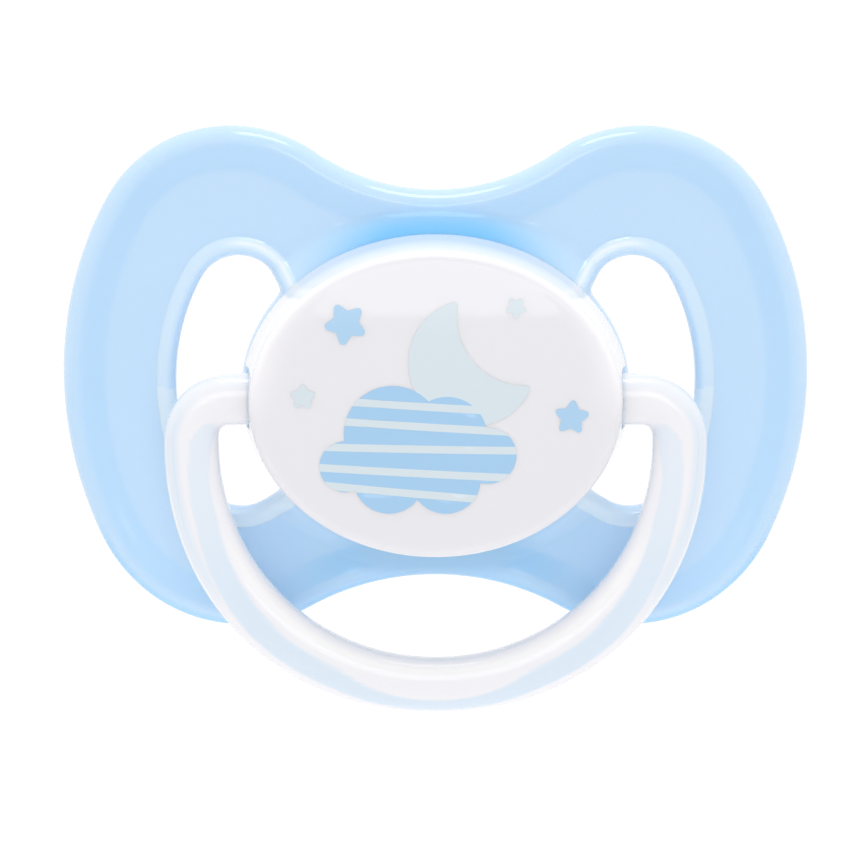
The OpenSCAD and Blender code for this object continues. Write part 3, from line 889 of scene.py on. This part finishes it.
def line_edges():
    edges = []
    for line in CLOUD_LINES:
        half = LINE_W / 2 / math.cos(math.radians(line[1]))
        for side in (-half, half):
            edges.append([(x, line_height(line, x) + side) for x in (-12, 12)])
    return edges


# ---- materials ----

# Colours. A LIGHT and DARK pair is the slow drift within one plastic; the others are its tones: painted light
# and shade, and on the shield also the deeper colour of its thick parts and the paler colour of its thin
# edges.
SKY_LIGHT, SKY_DARK = (0.565, 0.765, 0.995), (0.55, 0.755, 0.99)
# the shield's deeper colour where it is thick, with painted shade; its paler colour at thin edges, with
# painted highlights and sheen
SKY_THICK_SHADED, SKY_PALE_SHEEN = (0.22, 0.60, 0.99), (0.76, 0.88, 0.985)
# painted shade under the cover, and the painted gleam over the vents
SKY_SHADE, SKY_GLEAM = (0.36, 0.60, 0.84), (0.97, 0.99, 1.0)
COVER_LIGHT, COVER_DARK = (0.83, 0.82, 0.855), (0.82, 0.815, 0.85)
# painted light on the upper part of the cover's skirt
COVER_SKIRT_LIT = (0.97, 0.95, 0.98)
MILKY_LIGHT, MILKY_DARK = (0.935, 0.925, 0.965), (0.925, 0.92, 0.96)
# the ring's painted bluish colour, from the blue shield seen in it and from shade, and its painted highlights
MILKY_PAINTED_BLUE, MILKY_HIGHLIGHT = (0.75, 0.85, 0.965), (1.0, 0.995, 1.0)
SILICONE_LIGHT, SILICONE_DARK = (0.93, 0.92, 0.88), (0.91, 0.90, 0.86)
PLUG_LIGHT, PLUG_DARK = (0.80, 0.82, 0.84), (0.78, 0.80, 0.82)
BLUE_INK_LIGHT, BLUE_INK_DARK = (0.43, 0.645, 0.86), (0.42, 0.635, 0.85)
CLOUD_INK_LIGHT, CLOUD_INK_DARK = (0.385, 0.615, 0.86), (0.375, 0.605, 0.85)
PALE_INK_LIGHT, PALE_INK_DARK = (0.68, 0.77, 0.82), (0.67, 0.76, 0.81)
FLOOR_WHITE = (0.95, 0.95, 0.95)
# How rough each surface is, and the depth light reaches in the translucent ones, in metres
SKY_ROUGH, COVER_ROUGH, MILKY_ROUGH = 0.09, 0.045, 0.1
SILICONE_ROUGH, PLUG_ROUGH, INK_ROUGH = 0.3, 0.4, 0.12
SKY_DEPTH, MILKY_DEPTH = 0.0006, 0.0008
PLASTIC_IOR = 1.49
RELIEF_SCALE, RELIEF_STRENGTH, RELIEF_HEIGHT = 180, 0.05, 0.0001
ROUGH_LEAST, ROUGH_MOST = 0.8, 1.25


def shader(name):
    material = bpy.data.materials.new(name)
    material.use_nodes = True
    nodes, links = material.node_tree.nodes, material.node_tree.links
    return material, nodes, links, nodes["Principled BSDF"]


def fine_relief(nodes, links, surface):
    """The faint unevenness of a polished moulding, in its bump and its roughness."""
    coords = nodes.new("ShaderNodeTexCoord")
    noise = nodes.new("ShaderNodeTexNoise")
    noise.inputs["Scale"].default_value = RELIEF_SCALE
    noise.inputs["Detail"].default_value = 4
    links.new(coords.outputs["Object"], noise.inputs["Vector"])
    relief = nodes.new("ShaderNodeBump")
    relief.inputs["Strength"].default_value = RELIEF_STRENGTH
    relief.inputs["Distance"].default_value = RELIEF_HEIGHT
    links.new(noise.outputs["Fac"], relief.inputs["Height"])
    links.new(relief.outputs["Normal"], surface.inputs["Normal"])
    rough = nodes.new("ShaderNodeMapRange")
    base = surface.inputs["Roughness"].default_value
    rough.inputs["To Min"].default_value = base * ROUGH_LEAST
    rough.inputs["To Max"].default_value = base * ROUGH_MOST
    links.new(noise.outputs["Fac"], rough.inputs["Value"])
    links.new(rough.outputs["Result"], surface.inputs["Roughness"])
    return noise


def tint(nodes, links, noise, surface, light, dark):
    """A slow drift of colour through the moulding."""
    mix = nodes.new("ShaderNodeMix")
    mix.data_type = "RGBA"
    mix.inputs["A"].default_value = (*light, 1)
    mix.inputs["B"].default_value = (*dark, 1)
    links.new(noise.outputs["Fac"], mix.inputs["Factor"])
    links.new(mix.outputs["Result"], surface.inputs["Base Color"])


def moulded(name, light, dark, roughness, transmission=0.0):
    """A smooth moulded plastic, or ink."""
    material, nodes, links, surface = shader(name)
    surface.inputs["Roughness"].default_value = roughness
    surface.inputs["IOR"].default_value = PLASTIC_IOR
    surface.inputs["Transmission Weight"].default_value = transmission
    noise = fine_relief(nodes, links, surface)
    tint(nodes, links, noise, surface, light, dark)
    return material


def toned(material, tones):
    """Mixes another colour in wherever the piece stored a tone of that name."""
    nodes, links = material.node_tree.nodes, material.node_tree.links
    surface = nodes["Principled BSDF"]
    color = surface.inputs["Base Color"].links[0].from_socket
    for name, tone in tones:
        amount = nodes.new("ShaderNodeAttribute")
        amount.attribute_name = name
        mix = nodes.new("ShaderNodeMix")
        mix.data_type = "RGBA"
        links.new(amount.outputs["Fac"], mix.inputs["Factor"])
        links.new(color, mix.inputs["A"])
        mix.inputs["B"].default_value = (*tone, 1)
        color = mix.outputs["Result"]
    links.new(color, surface.inputs["Base Color"])
    return material


def translucent(material, weight, radius, scale):
    """Lets light spread under the surface."""
    surface = material.node_tree.nodes["Principled BSDF"]
    surface.inputs["Subsurface Weight"].default_value = weight
    surface.inputs["Subsurface Radius"].default_value = radius
    surface.inputs["Subsurface Scale"].default_value = scale


# sky blue: paler at thin edges and deeper where the moulding is thick, with painted highlights, sheen, shade
# and gleam
blue = toned(moulded("shield_plastic", SKY_LIGHT, SKY_DARK, SKY_ROUGH),
             (("deep", SKY_THICK_SHADED), ("pale", SKY_PALE_SHEEN), ("shade", SKY_SHADE), ("painted_gleam", SKY_GLEAM)))
translucent(blue, weight=0.2, radius=(0.4, 0.7, 1.0), scale=SKY_DEPTH)
# white, with painted light on the upper part of its skirt
white = toned(moulded("cover_plastic", COVER_LIGHT, COVER_DARK, COVER_ROUGH), (("skirt", COVER_SKIRT_LIT),))
translucent(white, weight=0.3, radius=(1.0, 1.0, 1.0), scale=MILKY_DEPTH)
# milky white with painted bluish bands and shade, and painted highlights along its edges
milky = toned(moulded("ring_plastic", MILKY_LIGHT, MILKY_DARK, MILKY_ROUGH, transmission=0.04),
              (("painted_blue", MILKY_PAINTED_BLUE), ("painted_highlight", MILKY_HIGHLIGHT)))
translucent(milky, weight=0.15, radius=(1.0, 1.0, 1.0), scale=MILKY_DEPTH)
silicone = moulded("teat_silicone", SILICONE_LIGHT, SILICONE_DARK, SILICONE_ROUGH, transmission=0.25)
plain = moulded("plug_plastic", PLUG_LIGHT, PLUG_DARK, PLUG_ROUGH)
blue_ink = moulded("blue_ink", BLUE_INK_LIGHT, BLUE_INK_DARK, INK_ROUGH)
cloud_ink = moulded("cloud_ink", CLOUD_INK_LIGHT, CLOUD_INK_DARK, INK_ROUGH)
pale_ink = moulded("pale_ink", PALE_INK_LIGHT, PALE_INK_DARK, INK_ROUGH)


# ---- the object ----

ROOT = "shield_body"


def add(piece, body, node=None):
    """Puts a piece on its body, and in the place of a CAD node's mesh, which it hides."""
    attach(piece, body)
    if node:
        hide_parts(node)


add(shield_shell(blue), ROOT, "shield")
add(hub_wall(blue), ROOT)
add(teat_mesh(silicone), ROOT, "teat")

frame["nodes"]["plug"].data.materials.clear()
frame["nodes"]["plug"].data.materials.append(plain)

add(cover_mesh(white), ROOT, "cover")
add(ring_mesh(milky), "ring", "ring_handle")
for side in (1, -1):
    add(ring_pin(side, milky), "ring")

cloud_loops = [disc_loop(lobe) for lobe in CLOUD] + [CLOUD_CORE]
moon_loop = crescent_loop()


def on_cloud(p):
    return in_cloud(p) & ~in_line(p)


def on_cloud_line(p):
    return in_cloud(p) & in_line(p)


def on_moon(p):
    return inside(moon_loop, p) & ~in_cloud(p)


add(print_mesh("cloud_ink", cloud_loops, line_edges(), on_cloud, cloud_ink),
    ROOT, "cloud_print")
add(print_mesh("cloud_line_ink", cloud_loops, line_edges(), on_cloud_line, pale_ink),
    ROOT, "cloud_line_print")
add(print_mesh("moon_ink", cloud_loops + [moon_loop], [], on_moon, pale_ink),
    ROOT, "moon_print")


def add_stars(name, stars, material, node):
    loops = [star_loop(*star) for star in stars]

    def on_star(p):
        return np.any([inside(loop, p) for loop in loops], axis=0)

    add(print_mesh(name, loops, [], on_star, material), ROOT, node)


add_stars("blue_stars_ink", BLUE_STARS, blue_ink, "blue_star_prints")
add_stars("pale_stars_ink", PALE_STARS, pale_ink, "pale_star_prints")


# ---- studio: metres and watts ----

FLOOR_HALF, FLOOR_LEVEL = 0.3, -0.12
# Each softbox: name, place, the point it faces, width and height, power, whether it shows in reflections
SOFTBOXES = (
    ("top_softbox", (0, -0.15, 0.72), (0, 0, 0), (0.36, 0.25), 1.5, True),
    ("front_softbox", (0, -1.4, 0.178), (0, 0, 0.178), (0.8, 0.414), 1.9, True),
    ("low_softbox", (0, -0.9, -0.24), (0, 0, 0), (0.6, 0.25), 0.65, False),
)
# The surroundings are dimmer on the camera's side than behind the object
ROOM_FROM, ROOM_TO = -0.8, 0.4
ROOM_DIM, ROOM_BRIGHT = 0.68, 1.05
CAMERA_UP = math.radians(9)
CAMERA_AWAY = 0.5
CAMERA_AIM = (-0.00049, 0, -0.00306)
VIEW_WIDTH = 0.06417
SENSOR = 36


def floor():
    mesh = bpy.data.meshes.new("floor")
    corners = ((-1, -1), (1, -1), (1, 1), (-1, 1))
    verts = [(FLOOR_HALF * x, FLOOR_HALF * y, FLOOR_LEVEL) for x, y in corners]
    mesh.from_pydata(verts, [], [(0, 1, 2, 3)])
    piece = bpy.data.objects.new("floor", mesh)
    bpy.context.scene.collection.objects.link(piece)
    material, _, _, surface = shader("floor_paper")
    surface.inputs["Base Color"].default_value = (*FLOOR_WHITE, 1)
    surface.inputs["Roughness"].default_value = 0.9
    surface.inputs["Specular IOR Level"].default_value = 0
    mesh.materials.append(material)


def softbox(name, place, aim, size, power, reflected):
    light = bpy.data.lights.new(name, "AREA")
    light.shape = "RECTANGLE"
    light.size, light.size_y = size
    light.energy = power
    lamp = bpy.data.objects.new(name, light)
    lamp.visible_glossy = reflected
    bpy.context.scene.collection.objects.link(lamp)
    lamp.location = place
    lamp.rotation_euler = (Vector(aim) - Vector(place)).to_track_quat("-Z", "Y").to_euler()


def surroundings():
    """White all round, a little dimmer in front."""
    world = bpy.data.worlds.new("studio")
    bpy.context.scene.world = world
    world.use_nodes = True
    nodes, links = world.node_tree.nodes, world.node_tree.links
    background = nodes["Background"]
    coords = nodes.new("ShaderNodeTexCoord")
    split = nodes.new("ShaderNodeSeparateXYZ")
    links.new(coords.outputs["Generated"], split.inputs[0])
    depth = nodes.new("ShaderNodeMapRange")
    depth.interpolation_type = "SMOOTHSTEP"
    depth.inputs["From Min"].default_value = ROOM_FROM
    depth.inputs["From Max"].default_value = ROOM_TO
    depth.inputs["To Min"].default_value = ROOM_DIM
    depth.inputs["To Max"].default_value = ROOM_BRIGHT
    links.new(split.outputs["Y"], depth.inputs["Value"])
    links.new(depth.outputs["Result"], background.inputs["Strength"])
    background.inputs["Color"].default_value = (1, 1, 1, 1)


def camera():
    data = bpy.data.cameras.new("camera")
    eye = bpy.data.objects.new("camera", data)
    bpy.context.scene.collection.objects.link(eye)
    data.sensor_width = SENSOR
    data.lens = SENSOR * CAMERA_AWAY / VIEW_WIDTH
    data.clip_start, data.clip_end = 0.01, 20
    back = Vector((0, -math.cos(CAMERA_UP), math.sin(CAMERA_UP)))
    eye.location = Vector(CAMERA_AIM) + back * CAMERA_AWAY
    eye.rotation_euler = (-back).to_track_quat("-Z", "Y").to_euler()
    bpy.context.scene.camera = eye


surroundings()
for box in SOFTBOXES:
    softbox(*box)
floor()
camera()
bpy.context.scene.view_settings.view_transform = "Standard"
